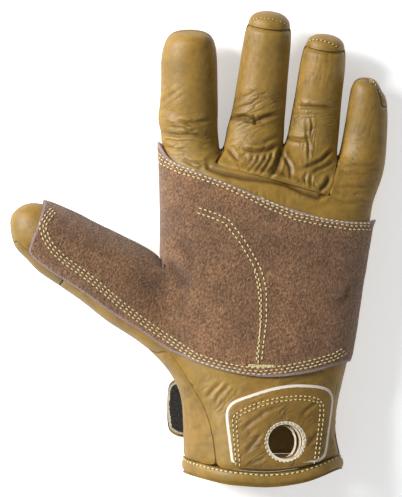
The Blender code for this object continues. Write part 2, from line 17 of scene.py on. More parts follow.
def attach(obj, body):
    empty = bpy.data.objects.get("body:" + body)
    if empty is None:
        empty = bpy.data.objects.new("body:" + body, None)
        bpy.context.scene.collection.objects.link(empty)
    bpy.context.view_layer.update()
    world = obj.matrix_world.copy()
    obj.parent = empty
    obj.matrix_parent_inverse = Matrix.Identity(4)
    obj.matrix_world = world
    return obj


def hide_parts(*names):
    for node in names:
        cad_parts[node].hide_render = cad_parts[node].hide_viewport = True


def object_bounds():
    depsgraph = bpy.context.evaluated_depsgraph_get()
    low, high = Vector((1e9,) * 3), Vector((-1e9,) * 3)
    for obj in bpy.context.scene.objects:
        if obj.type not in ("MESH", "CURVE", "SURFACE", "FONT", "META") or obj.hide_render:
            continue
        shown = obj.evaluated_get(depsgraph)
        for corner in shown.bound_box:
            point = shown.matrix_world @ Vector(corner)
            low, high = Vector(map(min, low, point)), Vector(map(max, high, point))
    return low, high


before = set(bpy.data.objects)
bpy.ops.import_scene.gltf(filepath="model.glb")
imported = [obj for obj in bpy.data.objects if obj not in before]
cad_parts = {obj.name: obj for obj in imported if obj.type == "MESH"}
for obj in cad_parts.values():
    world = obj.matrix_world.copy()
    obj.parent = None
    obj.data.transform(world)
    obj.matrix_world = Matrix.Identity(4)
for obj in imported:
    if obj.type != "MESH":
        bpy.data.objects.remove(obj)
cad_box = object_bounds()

# The photograph looks straight down on the palm. Places on the glove are given by where they are seen there,
# in its pixels, so that a fold or a seam can be read off it. It is 402 pixels wide and 497 high.
PIXEL = 0.000507
LEFT_EDGE_PIXEL = 12.4
FOOT_PIXEL = 483.3
PICTURE = (402, 497)


def seen(column, row):
    """The place across and along the glove that is seen at a pixel of the photograph."""
    low = cad_box[0]
    return Vector((low.x + (column - LEFT_EDGE_PIXEL) * PIXEL, low.y + (FOOT_PIXEL - row) * PIXEL))


# The camera stands straight over the middle of the picture, far enough off to show the sides of nothing.
CAMERA_HEIGHT = 1.40
SHARP_HEIGHT = 0.020
middle = seen(PICTURE[0] / 2, PICTURE[1] / 2)
camera_data = bpy.data.cameras.new("camera")
camera_data.sensor_fit = "VERTICAL"
camera_data.sensor_height = 24.0
camera_data.lens = 24.0 * (CAMERA_HEIGHT - SHARP_HEIGHT) / (PICTURE[1] * PIXEL)
camera = bpy.data.objects.new("camera", camera_data)
camera.location = (middle.x, middle.y, CAMERA_HEIGHT)
bpy.context.scene.collection.objects.link(camera)
bpy.context.scene.camera = camera


# A pale floor under the glove, a large soft lamp at the upper left and a weak one at the right.
def plain_material(name, colour, roughness):
    made = bpy.data.materials.new(name)
    made.use_nodes = True
    shader = made.node_tree.nodes["Principled BSDF"]
    shader.inputs["Base Color"].default_value = (*colour, 1.0)
    shader.inputs["Roughness"].default_value = roughness
    return made


def new_object(name, bm, materials):
    mesh = bpy.data.meshes.new(name)
    bm.to_mesh(mesh)
    bm.free()
    for look in materials:
        mesh.materials.append(look)
    made = bpy.data.objects.new(name, mesh)
    bpy.context.scene.collection.objects.link(made)
    return made


FLOOR_REACH = 3.0
floor_bm = bmesh.new()
bmesh.ops.create_grid(floor_bm, x_segments=1, y_segments=1, size=FLOOR_REACH)
floor_paper = plain_material("floor_paper", (0.90, 0.90, 0.89), 0.9)
floor_shader = floor_paper.node_tree.nodes["Principled BSDF"]
floor_shader.inputs["Emission Color"].default_value = (1.0, 1.0, 1.0, 1.0)
floor_shader.inputs["Emission Strength"].default_value = 0.42
floor = new_object("floor", floor_bm, [floor_paper])


def soft_lamp(name, place, aim, size, power):
    data = bpy.data.lights.new(name, "AREA")
    data.shape = "SQUARE"
    data.size = size
    data.energy = power
    lamp = bpy.data.objects.new(name, data)
    lamp.location = place
    lamp.rotation_euler = (Vector(aim) - Vector(place)).to_track_quat("-Z", "Y").to_euler()
    bpy.context.scene.collection.objects.link(lamp)


soft_lamp("key_lamp", (-0.95, 0.42, 0.78), (0, 0, 0.02), 0.50, 30.0)
soft_lamp("fill_lamp", (0.5, -0.7, 1.1), (0, 0, 0.02), 1.0, 2.5)
world = bpy.data.worlds.new("studio")
world.use_nodes = True
world.node_tree.nodes["Background"].inputs["Color"].default_value = (0.97, 0.98, 1.0, 1.0)
world.node_tree.nodes["Background"].inputs["Strength"].default_value = 0.28
bpy.context.scene.world = world
bpy.context.scene.view_settings.view_transform = "Standard"


# Grain leather: golden tan cowhide with fine pores and small creases where it bends.
# The crease attribute says how deep a place lies in a fold, where the colour is darkened as painted shade,
# fine how crazed the hide is, and edge how many millimetres it is from the cut rim.
def node(tree, kind, place, **values):
    made = tree.nodes.new(kind)
    made.location = place
    for name, value in values.items():
        setattr(made, name, value)
    return made


def value_group(name, inputs, outputs):
    """A shader node group with named sockets: (name, kind, default) in, (name, kind) out."""
    group = bpy.data.node_groups.new(name, "ShaderNodeTree")
    for label, kind, default in inputs:
        socket = group.interface.new_socket(label, in_out="INPUT", socket_type="NodeSocket" + kind)
        if default is not None:
            socket.default_value = default
    for label, kind in outputs:
        group.interface.new_socket(label, in_out="OUTPUT", socket_type="NodeSocket" + kind)
    entry = node(group, "NodeGroupInput", (-1200, 0))
    exit_node = node(group, "NodeGroupOutput", (1200, 0))
    return group, entry, exit_node


def math_node(tree, operation, first, second=None, clamp=False):
    made = node(tree, "ShaderNodeMath", (0, 0), operation=operation, use_clamp=clamp)
    for socket, value in zip(made.inputs, (first, second)):
        if value is None:
            continue
        if isinstance(value, (int, float)):
            socket.default_value = value
        else:
            tree.links.new(value, socket)
    return made.outputs[0]


def noise(tree, coordinate, scale, detail=3.0, roughness=0.55, stretch=None, turn=0.0, distortion=0.0):
    if stretch is not None or turn:
        mapping = node(tree, "ShaderNodeMapping", (-800, 0))
        mapping.inputs["Rotation"].default_value = (0, 0, math.radians(turn))
        mapping.inputs["Scale"].default_value = stretch or (1, 1, 1)
        # The turn comes before the stretch, so the coordinate goes through a second node.
        if turn and stretch is not None:
            mapping.inputs["Scale"].default_value = (1, 1, 1)
            second = node(tree, "ShaderNodeMapping", (-700, 0))
            second.inputs["Scale"].default_value = stretch
            tree.links.new(coordinate, mapping.inputs["Vector"])
            tree.links.new(mapping.outputs[0], second.inputs["Vector"])
            coordinate = second.outputs[0]
        else:
            tree.links.new(coordinate, mapping.inputs["Vector"])
            coordinate = mapping.outputs[0]
    made = node(tree, "ShaderNodeTexNoise", (-600, 0))
    made.inputs["Scale"].default_value = scale
    made.inputs["Detail"].default_value = detail
    made.inputs["Roughness"].default_value = roughness
    made.inputs["Distortion"].default_value = distortion
    tree.links.new(coordinate, made.inputs["Vector"])
    return made.outputs["Fac"]


def ramp(tree, fac, stops):
    made = node(tree, "ShaderNodeValToRGB", (-300, 0))
    elements = made.color_ramp.elements
    while len(elements) < len(stops):
        elements.new(0.5)
    for element, (position, colour) in zip(elements, stops):
        element.position = position
        element.color = (*colour, 1.0) if len(colour) == 3 else colour
    tree.links.new(fac, made.inputs["Fac"])
    return made.outputs["Color"]


def mixed(tree, fac, first, second, mode="MIX"):
    made = node(tree, "ShaderNodeMix", (0, 0), data_type="RGBA", blend_type=mode)
    for socket, value in ((made.inputs[0], fac), (made.inputs[6], first), (made.inputs[7], second)):
        if isinstance(value, (int, float)):
            socket.default_value = value
        elif isinstance(value, tuple):
            socket.default_value = (*value, 1.0)
        else:
            tree.links.new(value, socket)
    return made.outputs[2]


def attribute(tree, name):
    return node(tree, "ShaderNodeAttribute", (-1000, -300), attribute_name=name).outputs["Fac"]


LEATHER_LIGHT = (0.312, 0.181, 0.026)
LEATHER_MIDDLE = (0.222, 0.122, 0.012)
LEATHER_OLIVE = (0.172, 0.105, 0.012)
LEATHER_DEEP = (0.050, 0.020, 0.002)
RAW_EDGE = (0.640, 0.575, 0.480)

# Grain: colour, gloss and height of the leather's face, from pores of 0.5 mm up to clouds of 30 mm. Crease is
# how deep a place lies in a fold, where the colour is darkened as painted shade, and Fine is how strongly the
# hide is crazed there.
grain_group, grain_in, grain_out = value_group(
    "leather_face",
    (("Vector", "Vector", None), ("Crease", "Float", 0.0), ("Fine", "Float", 0.0)),
    (("Color", "Color"), ("Roughness", "Float"), ("Height", "Float")),
)
place = grain_in.outputs["Vector"]
clouds = noise(grain_group, place, 34.0, 4.0, 0.6)
drift = noise(grain_group, place, 60.0, 3.0, 0.55, distortion=0.5)
spots = noise(grain_group, place, 260.0, 4.0, 0.65)
pores = noise(grain_group, place, 1500.0, 3.0, 0.7)
crazing = noise(grain_group, place, 430.0, 4.0, 0.62, distortion=0.8)
tone = ramp(grain_group, clouds, ((0.32, LEATHER_MIDDLE), (0.68, LEATHER_LIGHT)))
olive = ramp(grain_group, drift, ((0.42, (0, 0, 0)), (0.62, (1, 1, 1))))
tone = mixed(grain_group, math_node(grain_group, "MULTIPLY", olive, 0.55), tone, LEATHER_OLIVE)
shade = ramp(grain_group, spots,
             ((0.30, (0.80, 0.79, 0.76)), (0.55, (1.0, 1.0, 1.0)), (0.75, (1.10, 1.10, 1.12))))
tone = mixed(grain_group, 1.0, tone, shade, "MULTIPLY")
line = math_node(grain_group, "ABSOLUTE", math_node(grain_group, "SUBTRACT", 0.5, crazing))
line = math_node(grain_group, "ADD", math_node(grain_group, "MULTIPLY", line, -16.0), 1.0, clamp=True)
line = math_node(grain_group, "MULTIPLY", line, grain_in.outputs["Fine"])
tone = mixed(grain_group, math_node(grain_group, "MULTIPLY", line, 0.42, clamp=True), tone, LEATHER_DEEP)
# Painted shade: the deeper a place lies in a fold or wrinkle, the darker its colour.
crease_shade = math_node(grain_group, "MULTIPLY", grain_in.outputs["Crease"], 0.78, clamp=True)
tone = mixed(grain_group, crease_shade, tone, LEATHER_DEEP)
height = math_node(grain_group, "MULTIPLY", pores, 0.16)
height = math_node(grain_group, "ADD", height, math_node(grain_group, "MULTIPLY", spots, 0.22))
height = math_node(grain_group, "SUBTRACT", height, math_node(grain_group, "MULTIPLY", line, 0.22))
shine = math_node(grain_group, "ADD", math_node(grain_group, "MULTIPLY", pores, 0.22), 0.40)
grain_group.links.new(tone, grain_out.inputs["Color"])
grain_group.links.new(shine, grain_out.inputs["Roughness"])
grain_group.links.new(height, grain_out.inputs["Height"])


def bumped(tree, shader, height, distance, strength=1.0):
    bump = node(tree, "ShaderNodeBump", (-200, -400))
    bump.inputs["Strength"].default_value = strength
    bump.inputs["Distance"].default_value = distance
    tree.links.new(height, bump.inputs["Height"])
    tree.links.new(bump.outputs["Normal"], shader.inputs["Normal"])


def leather_material(name, tint=(1.0, 1.0, 1.0), raw_band=0.0):
    """Grain leather. raw_band is how wide the pale cut edge shows from the front, in millimetres."""
    made = bpy.data.materials.new(name)
    made.use_nodes = True
    tree = made.node_tree
    shader = tree.nodes["Principled BSDF"]
    coordinate = node(tree, "ShaderNodeTexCoord", (-1400, 0)).outputs["Object"]
    face = node(tree, "ShaderNodeGroup", (-600, 0), node_tree=grain_group)
    tree.links.new(coordinate, face.inputs["Vector"])
    tree.links.new(attribute(tree, "crease"), face.inputs["Crease"])
    tree.links.new(attribute(tree, "fine"), face.inputs["Fine"])
    colour = mixed(tree, 1.0, face.outputs["Color"], tint, "MULTIPLY")
    if raw_band:
        ragged = math_node(tree, "MULTIPLY", noise(tree, coordinate, 900.0), raw_band * 0.5)
        edge = math_node(tree, "ADD", attribute(tree, "edge"), ragged)
        band = math_node(tree, "LESS_THAN", edge, raw_band * 1.25)
        colour = mixed(tree, band, colour, RAW_EDGE)
    tree.links.new(colour, shader.inputs["Base Color"])
    tree.links.new(face.outputs["Roughness"], shader.inputs["Roughness"])
    bumped(tree, shader, face.outputs["Height"], 0.0006)
    return made


palm_leather = leather_material("palm_grain_leather")
back_leather = leather_material("back_grain_leather", (0.96, 0.95, 0.95))


# The flesh side of the hide, inside the glove and on its cut edges: pale and matt on its cut edges, and dark
# mauve inside, where the darkness is painted shade for the shadow in the glove.
def flesh_material(name, light, deep, scale=500.0):
    made = plain_material(name, light, 0.95)
    tree = made.node_tree
    coordinate = node(tree, "ShaderNodeTexCoord", (-1400, 0)).outputs["Object"]
    fibres = noise(tree, coordinate, scale, 5.0, 0.7)
    colour = ramp(tree, fibres, ((0.32, deep), (0.66, light)))
    tree.links.new(colour, tree.nodes["Principled BSDF"].inputs["Base Color"])
    bumped(tree, tree.nodes["Principled BSDF"], fibres, 0.0006)
    return made


raw_leather = flesh_material("cut_leather_edge", RAW_EDGE, (0.36, 0.27, 0.16), 900.0)
seam_leather = flesh_material("turned_leather_edge", (0.30, 0.17, 0.035), (0.10, 0.05, 0.01), 900.0)
# Dark mauve inside the glove: painted shade for its shadow.
shaded_inside = flesh_material("mauve_inside_painted_shade", (0.105, 0.060, 0.050), (0.040, 0.021, 0.017), 700.0)


# Each leather piece is a finer copy of its solid. Its cut rim stays sharp, and its face gets the folds.
WELD = 0.00001
RIM_ANGLE = math.radians(50)
OUTER, RIM, INNER = range(3)


def sides_of(bm):
    """Marks each face as the outer side, the rim or the inner side, from the sharp edges between them."""
    left = set(bm.faces)
    islands = []
    for first in bm.faces:
        if first not in left:
            continue
        left.remove(first)
        stack = [first]
        island = [first]
        while stack:
            face = stack.pop()
            for edge in face.edges:
                if edge.smooth:
                    for other in edge.link_faces:
                        if other in left:
                            left.remove(other)
                            island.append(other)
                            stack.append(other)
        islands.append(island)
    islands.sort(key=lambda island: (-round(sum(face.calc_area() for face in island), 6),
                                     -sum(face.calc_center_median().z for face in island) / len(island)))
    for rank, island in enumerate(islands):
        for face in island:
            face.material_index = (OUTER, INNER)[rank] if rank < 2 else RIM


Window = namedtuple("Window", "left top right bottom")


def cut_finer(mesh, windows):
    """Cuts the outer side's faces in four again, where these windows of the photograph show them."""
    bm = bmesh.new()
    bm.from_mesh(mesh)
    for window in windows:
        low = seen(window.left, window.bottom)
        high = seen(window.right, window.top)
        edges = set()
        for face in bm.faces:
            middle = face.calc_center_median()
            inside = low.x < middle.x < high.x and low.y < middle.y < high.y
            if face.material_index == OUTER and inside and face.normal.z > -0.3:
                edges.update(face.edges)
        bmesh.ops.subdivide_edges(bm, edges=list(edges), cuts=1, use_grid_fill=True, smooth=0.0)
    bm.to_mesh(mesh)
    bm.free()


def refined(name, levels):
    """A copy of a CAD node, joined into quads, rounded and cut finer, with its cut rim kept sharp."""
    bm = bmesh.new()
    bm.from_mesh(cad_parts[name].data)
    bmesh.ops.remove_doubles(bm, verts=bm.verts, dist=WELD)
    limit = math.radians(180)
    bmesh.ops.join_triangles(bm, faces=bm.faces, angle_face_threshold=math.radians(60),
                             angle_shape_threshold=limit)
    crease = bm.edges.layers.float.new("crease_edge")
    for edge in bm.edges:
        sharp = len(edge.link_faces) == 2 and edge.calc_face_angle() > RIM_ANGLE
        edge.smooth = not sharp
        edge[crease] = 1.0 if sharp else 0.0
    sides_of(bm)
    # The corners of a panel's outline are rounded, so the edges from wall to wall aren't sharp.
    for edge in bm.edges:
        if not edge.smooth and all(face.material_index == RIM for face in edge.link_faces):
            edge.smooth = True
            edge[crease] = 0.0
    coarse = bpy.data.meshes.new(name + "_coarse")
    bm.to_mesh(coarse)
    bm.free()
    holder = bpy.data.objects.new(name + "_coarse", coarse)
    bpy.context.scene.collection.objects.link(holder)
    rounding = holder.modifiers.new("rounding", "SUBSURF")
    rounding.levels = levels
    rounding.render_levels = levels
    graph = bpy.context.evaluated_depsgraph_get()
    fine = bpy.data.meshes.new_from_object(holder.evaluated_get(graph))
    bpy.data.objects.remove(holder)
    fine.name = name + "_dressed"
    return fine


def read(mesh):
    """Places, loop corners, face sizes and sides of a mesh, as arrays."""
    places = np.empty(len(mesh.vertices) * 3)
    mesh.vertices.foreach_get("co", places)
    corners = np.empty(len(mesh.loops), int)
    mesh.loops.foreach_get("vertex_index", corners)
    totals = np.empty(len(mesh.polygons), int)
    mesh.polygons.foreach_get("loop_total", totals)
    normals = np.empty(len(mesh.polygons) * 3)
    mesh.polygons.foreach_get("normal", normals)
    areas = np.empty(len(mesh.polygons))
    mesh.polygons.foreach_get("area", areas)
    sides = np.empty(len(mesh.polygons), int)
    mesh.polygons.foreach_get("material_index", sides)
    return places.reshape(-1, 3), corners, totals, normals.reshape(-1, 3) * areas[:, None], sides


def outward(mesh):
    """For every vertex, the way out of the glove through it, and how far it lies from the cut rim."""
    places, corners, totals, normals, sides = read(mesh)
    face_of = np.repeat(np.arange(len(totals)), totals)
    side = sides[face_of]
    out = np.zeros_like(places)
    for which, sign in ((INNER, -1.0), (OUTER, 1.0)):
        chosen = side == which
        total = np.zeros_like(places)
        np.add.at(total, corners[chosen], normals[face_of[chosen]] * sign)
        found = np.linalg.norm(total, axis=1) > 0
        out[found] = total[found]
    out /= np.maximum(np.linalg.norm(out, axis=1), 1e-12)[:, None]
    rim = np.zeros(len(places), bool)
    rim[corners[side == RIM]] = True
    return places, out, rim


def from_rim(places, rim, reach=0.012):
    """The distance of every vertex from the nearest rim vertex, up to reach."""
    distance = np.full(len(places), reach)
    if not rim.any():
        return distance
    cells = {}
    for spot in places[rim]:
        cells.setdefault(tuple(np.floor(spot / reach).astype(int)), []).append(spot)
    cells = {key: np.array(spots) for key, spots in cells.items()}
    keys = np.floor(places / reach).astype(int)
    order = np.lexsort(keys.T)
    starts = np.flatnonzero(np.any(np.diff(keys[order], axis=0), axis=1)) + 1
    for block in np.split(order, starts):
        key = keys[block[0]]
        near = [cells[tuple(key + (i, j, k))] for i in (-1, 0, 1) for j in (-1, 0, 1) for k in (-1, 0, 1)
                if tuple(key + (i, j, k)) in cells]
        if near:
            spots = np.concatenate(near)
            for part in np.array_split(block, max(1, len(block) * len(spots) // 2000000)):
                gap = np.linalg.norm(places[part, None] - spots[None], axis=2).min(axis=1)
                distance[part] = np.minimum(gap, reach)
    return distance


Fold = namedtuple("Fold", "points depth width")


def fold_heights(places, folds):
    """How far folds press each place in, in metres, and how deep in a fold it lies, from 0 to 1."""
    height = np.zeros(len(places))
    inside = np.zeros(len(places))
    for fold in folds:
        line = [seen(*point) for point in fold.points]
        lengths = [0.0]
        for start, finish in zip(line, line[1:]):
            lengths.append(lengths[-1] + (finish - start).length)
        width = fold.width / 1000
        low = np.min([tuple(point) for point in line], axis=0) - 4 * width
        high = np.max([tuple(point) for point in line], axis=0) + 4 * width
        near = np.flatnonzero(np.all((places[:, :2] > low) & (places[:, :2] < high), axis=1))
        if not len(near):
            continue
        flat = places[near, :2]
        best = np.full(len(near), 1.0)
        share = np.zeros(len(near))
        for number, (start, finish) in enumerate(zip(line, line[1:])):
            way = np.array(finish - start)
            size = float(way @ way)
            along = np.clip(((flat - np.array(start)) @ way) / size, 0, 1)
            gap = np.linalg.norm(flat - np.array(start) - along[:, None] * way, axis=1)
            nearer = gap < best
            best[nearer] = gap[nearer]
            share[nearer] = (lengths[number] + along[nearer] * math.sqrt(size)) / lengths[-1]
        fade = np.clip(np.sin(np.pi * np.clip(share, 0.02, 0.98)) * 1.6, 0, 1)
        groove = np.exp(-(best / width) ** 2) * fade
        ridge = np.exp(-((best - 2.1 * width) / (1.1 * width)) ** 2) * fade
        height[near] += fold.depth / 1000 * (ridge * 0.45 - groove)
        inside[near] = np.maximum(inside[near], groove * min(1.0, fold.depth))
    return height, inside


Wrinkles = namedtuple("Wrinkles", "column row across along turn pitch depth")


def wrinkle_heights(places, zones):
    """Fine wrinkles in soft ovals, given by their middle and reach in pixels, the way that they run in
    degrees from the glove's width, and their pitch and depth in millimetres. Also how deep each place lies
    in one."""
    height = np.zeros(len(places))
    inside = np.zeros(len(places))
    for number, zone in enumerate(zones):
        centre = np.array(seen(zone.column, zone.row))
        turn = math.radians(zone.turn)
        flat = places[:, :2] - centre
        gap = np.hypot(flat[:, 0] / (zone.across * PIXEL), flat[:, 1] / (zone.along * PIXEL))
        strength = np.clip((1.15 - gap) / 0.45, 0, 1)
        near = np.flatnonzero(strength > 0)
        if not len(near):
            continue
        pitch = zone.pitch / 1000
        run = (flat[near, 0] * math.cos(turn) + flat[near, 1] * math.sin(turn)) / (pitch * 4.5)
        over = (flat[near, 1] * math.cos(turn) - flat[near, 0] * math.sin(turn)) / pitch
        deep = places[near, 2] / (pitch * 2.5)
        wave = np.array([perlin.noise((u + number * 17.3, v, w)) for u, v, w in zip(run, over, deep)])
        small = np.array([perlin.noise((u * 2.3, v * 2.1 + number * 9.1, w))
                          for u, v, w in zip(run, over, deep)])
        groove = np.exp(-(wave / 0.11) ** 2) + 0.45 * np.exp(-(small / 0.10) ** 2)
        patchy = np.clip(0.55 + 0.9 * np.array([perlin.noise((u * 1.3, v * 0.25, 4.0 + number))
                                               for u, v in zip(run, over)]), 0, 1)
        amount = strength[near] * patchy * zone.depth / 1000
        height[near] += amount * (np.abs(wave) * 0.9 - groove)
        inside[near] = np.maximum(inside[near], np.clip(groove, 0, 1) * strength[near] * patchy)
    return height, inside


def store(mesh, name, values):
    held = mesh.attributes.new(name, "FLOAT", "POINT")
    held.data.foreach_set("value", values.astype(np.float32))


Push = namedtuple("Push", "column row reach right up out")


def pushed(places, out, pushes):
    """Places after soft pushes, in pixels across and up the photograph, and in millimetres out."""
    for push in pushes:
        gap = np.linalg.norm(places[:, :2] - np.array(seen(push.column, push.row)), axis=1)
        share = np.exp(-(gap / (push.reach * PIXEL)) ** 2)[:, None]
        side = np.array((push.right * PIXEL, push.up * PIXEL, 0.0))
        places = places + share * side + out * share * (push.out / 1000) * (out[:, 2:] > -0.2)
    return places


# The glove as it lies: the index finger's root runs in under the front panel, and its edges sag a little.
GLOVE_PUSHES = (
    Push(214, 165, 13, -5.0, -1.0, 0.0),
    Push(166, 60, 20, -2.0, 0.0, 0.0),
    Push(12, 218, 12, -2.5, 1.5, 0.0),
    Push(24, 262, 13, 2.0, 1.5, 0.0),
    Push(110, 320, 26, -1.2, -2.0, 0.0),
    Push(388, 84, 10, -3.0, -3.0, 0.0),
    Push(233, 128, 16, -2.0, 0.0, 0.0),
    Push(181, 420, 30, -0.5, 0.0, 0.0),
)


def dress(name, levels, looks, folds=(), zones=(), turn_in=0.0006, turn_width=0.0012, fine=0.12, windows=(),
          pushes=GLOVE_PUSHES, lumps=0.0):
    """The finished piece: refined, folded, its edges turned in towards the seam, and riding in its place."""
    mesh = refined(name, levels)
    if windows:
        cut_finer(mesh, windows)
    places, out, rim = outward(mesh)
    edge = from_rim(places, rim)
    height, inside = fold_heights(places, folds)
    wrinkled, creased = wrinkle_heights(places, zones)
    height += wrinkled * np.clip(edge / 0.0015, 0, 1)
    height -= turn_in * np.exp(-(edge / turn_width) ** 2)
    if lumps:
        height += lumps * np.array([perlin.noise(spot * 95.0) + 0.5 * perlin.noise(spot * 260.0)
                                    for spot in map(Vector, places)])
    places = pushed(places + out * height[:, None], out, pushes)
    mesh.vertices.foreach_set("co", places.ravel())
    # The crease attribute darkens the colour in folds and wrinkles: painted shade.
    store(mesh, "crease", np.maximum(inside, creased * 0.45))
    store(mesh, "fine", np.maximum(fine, np.clip(creased * 0.5, 0, 1)))
    store(mesh, "edge", edge * 1000)
    mesh.materials.clear()
    for look in looks:
        mesh.materials.append(look)
    mesh.polygons.foreach_set("use_smooth", [True] * len(mesh.polygons))
    mesh.update()
    piece = bpy.data.objects.new(name + "_dressed", mesh)
    bpy.context.scene.collection.objects.link(piece)
    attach(piece, "root")
    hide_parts(name)
    return piece


# The palm panel: tan cowhide cut in one with the fronts of the thumb, index finger and little finger, and
# sewn to the back panel along the sides, with the seam turned in.
GUNN_SEAM = ((223, 151), (212, 160), (214, 168), (227, 175), (246, 179), (274, 182), (287, 185), (303, 193),
             (318, 198), (325, 193), (331, 176), (337, 153))
PALM_FOLDS = (
    Fold(((176, 121), (190, 124), (202, 122), (215, 119)), 0.55, 0.9),
    Fold(((159, 131), (168, 134), (180, 136), (193, 135), (208, 138)), 0.75, 1.0),
    Fold(((184, 128), (190, 132), (196, 130)), 0.5, 0.7),
    Fold(((164, 139), (178, 142), (190, 141)), 0.35, 0.7),
    Fold(((164, 146), (176, 150), (188, 150)), 0.35, 0.7),
    Fold(((180, 160), (192, 163), (202, 163), (211, 160)), 0.7, 0.8),
    Fold(((186, 164), (201, 168), (211, 164)), 0.5, 0.7),
    Fold(((159, 104), (167, 98), (176, 92)), 0.35, 1.1),
    Fold(GUNN_SEAM, 1.3, 1.3),
    Fold(((340, 165), (356, 164), (378, 166)), 0.5, 0.7),
    Fold(((341, 174), (358, 173), (374, 175)), 0.4, 0.7),
    Fold(((336, 188), (352, 186), (372, 188)), 0.55, 0.8),
    Fold(((330, 197), (345, 203), (362, 204)), 0.4, 0.8),
    Fold(((183, 391), (190, 386), (194, 383)), 0.6, 0.9),
    Fold(((206, 397), (213, 388), (222, 380)), 0.45, 1.0),
    Fold(((214, 402), (219, 393), (228, 383)), 0.45, 0.9),
    Fold(((280, 384), (292, 379), (304, 376)), 0.4, 0.9),
    Fold(((334, 428), (338, 442), (340, 455)), 0.8, 1.2),
)
PALM_WRINKLES = (
    Wrinkles(187, 140, 30, 26, 2, 2.3, 0.34),
    Wrinkles(170, 100, 16, 22, 40, 3.0, 0.20),
    Wrinkles(205, 60, 14, 30, 75, 3.0, 0.10),
    Wrinkles(358, 176, 24, 40, 2, 2.0, 0.36),
    Wrinkles(366, 122, 24, 26, 80, 3.0, 0.10),
    Wrinkles(262, 192, 62, 16, 88, 2.0, 0.32),
    Wrinkles(218, 392, 22, 24, 52, 2.0, 0.30),
    Wrinkles(285, 381, 52, 12, 30, 2.2, 0.26),
    Wrinkles(334, 410, 10, 40, 65, 2.4, 0.26),
    Wrinkles(212, 440, 12, 30, 84, 2.6, 0.16),
    Wrinkles(70, 270, 50, 30, -40, 3.0, 0.12),
    Wrinkles(40, 222, 24, 20, 50, 3.0, 0.12),
)
PALM_WINDOWS = (
    Window(150, 20, 222, 170),
    Window(325, 66, 392, 216),
    Window(186, 164, 330, 216),
    Window(180, 368, 350, 476),
)
PALM_LOOKS = (palm_leather, seam_leather, shaded_inside)
palm = dress("palm_panel", 2, PALM_LOOKS, PALM_FOLDS, PALM_WRINKLES, windows=PALM_WINDOWS)

# The front panel of the middle and ring fingers: the same hide, set into the palm below the roots of these
# fingers, with its puffed edge turned under.
FRONT_FOLDS = (
    Fold(((230, 103), (239, 99), (250, 96), (262, 93)), 0.35, 1.5),
    Fold(((231, 111), (243, 107), (254, 103), (266, 102)), 0.35, 1.3),
    Fold(((226, 116), (233, 118), (244, 117), (256, 121), (267, 117), (280, 113)), 1.2, 1.1),
    Fold(((243, 121), (248, 122), (256, 123), (264, 121)), 0.7, 0.8),
    Fold(((253, 114), (256, 122), (255, 127)), 0.6, 0.7),
    Fold(((242, 148), (248, 150), (254, 151), (261, 151), (269, 150), (281, 144)), 1.1, 1.0),
    Fold(((250, 145), (261, 144), (280, 136)), 0.5, 1.0),
    Fold(((228, 147), (233, 154), (238, 160)), 0.7, 0.9),
    Fold(((248, 152), (242, 158), (235, 161)), 0.45, 0.8),
    Fold(((254, 154), (251, 162), (245, 167)), 0.45, 0.8),
    Fold(((259, 154), (258, 161), (252, 168), (247, 173)), 0.5, 0.8),
    Fold(((267, 153), (265, 160), (258, 168), (254, 174)), 0.6, 0.8),
    Fold(((273, 151), (271, 159), (265, 168), (259, 175)), 0.65, 0.8),
    Fold(((278, 150), (277, 159), (273, 167), (265, 175)), 0.65, 0.8),
    Fold(((283, 143), (280, 155), (277, 168), (269, 178)), 1.7, 1.2),
    Fold(((295, 105), (302, 107), (318, 108), (335, 109)), 0.75, 1.0),
    Fold(((306, 118), (307, 137), (309, 146), (308, 165)), 0.5, 0.7),
    Fold(((311, 117), (312, 127), (310, 137)), 0.4, 0.6),
    Fold(((285, 137), (291, 138), (300, 140), (311, 139)), 0.75, 0.9),
    Fold(((335, 148), (329, 153), (322, 160), (314, 164), (300, 169)), 1.0, 0.9),
    Fold(((336, 160), (325, 167), (316, 171), (310, 176)), 0.5, 0.8),
    Fold(((280, 150), (285, 159), (290, 167), (291, 178)), 0.7, 0.9),
    Fold(((306, 172), (304, 184)), 0.4, 0.7),
    Fold(((311, 175), (310, 186)), 0.4, 0.7),
    Fold(((330, 176), (325, 185), (318, 192)), 1.3, 1.1),
    Fold(((221, 166), (246, 173), (274, 176), (300, 185), (318, 191), (327, 176)), -0.9, 1.7),
)
FRONT_WRINKLES = (
    Wrinkles(256, 112, 30, 26, 18, 2.4, 0.34),
    Wrinkles(252, 150, 34, 18, 30, 2.2, 0.30),
    Wrinkles(260, 167, 32, 14, 58, 1.9, 0.36),
    Wrinkles(312, 120, 26, 30, 10, 2.4, 0.24),
    Wrinkles(308, 140, 10, 32, 88, 1.8, 0.30),
    Wrinkles(306, 178, 22, 18, 84, 1.9, 0.34),
    Wrinkles(315, 70, 22, 26, 84, 2.6, 0.10),
    Wrinkles(255, 60, 22, 26, 80, 2.8, 0.10),
)
FRONT_WINDOWS = (Window(210, 10, 345, 205), Window(210, 90, 345, 205))
front = dress("finger_front_panel", 2, PALM_LOOKS, FRONT_FOLDS, FRONT_WRINKLES, windows=FRONT_WINDOWS,
              turn_in=0.0012, turn_width=0.0014)

# The back panel, which also wraps over the fingertips, and the fourchettes between the fingers. They are the
# same tan hide, sewn to the fronts edge to edge.
BACK_FOLDS = (
    Fold(((182, 392), (189, 388), (195, 383)), 0.6, 0.9),
    Fold(((186, 398), (192, 391), (196, 384)), 0.5, 0.8),
)
BACK_WRINKLES = (
    Wrinkles(192, 392, 14, 16, 50, 2.0, 0.34),
    Wrinkles(198, 425, 18, 30, 8, 3.0, 0.14),
    Wrinkles(110, 300, 70, 60, -40, 3.2, 0.16),
)
back = dress("back_panel", 2, (back_leather, seam_leather, shaded_inside), BACK_FOLDS, BACK_WRINKLES)
for web in ("fourchette_index_middle", "fourchette_middle_ring", "fourchette_ring_little"):
    dress(web, 2, (back_leather, seam_leather, shaded_inside))


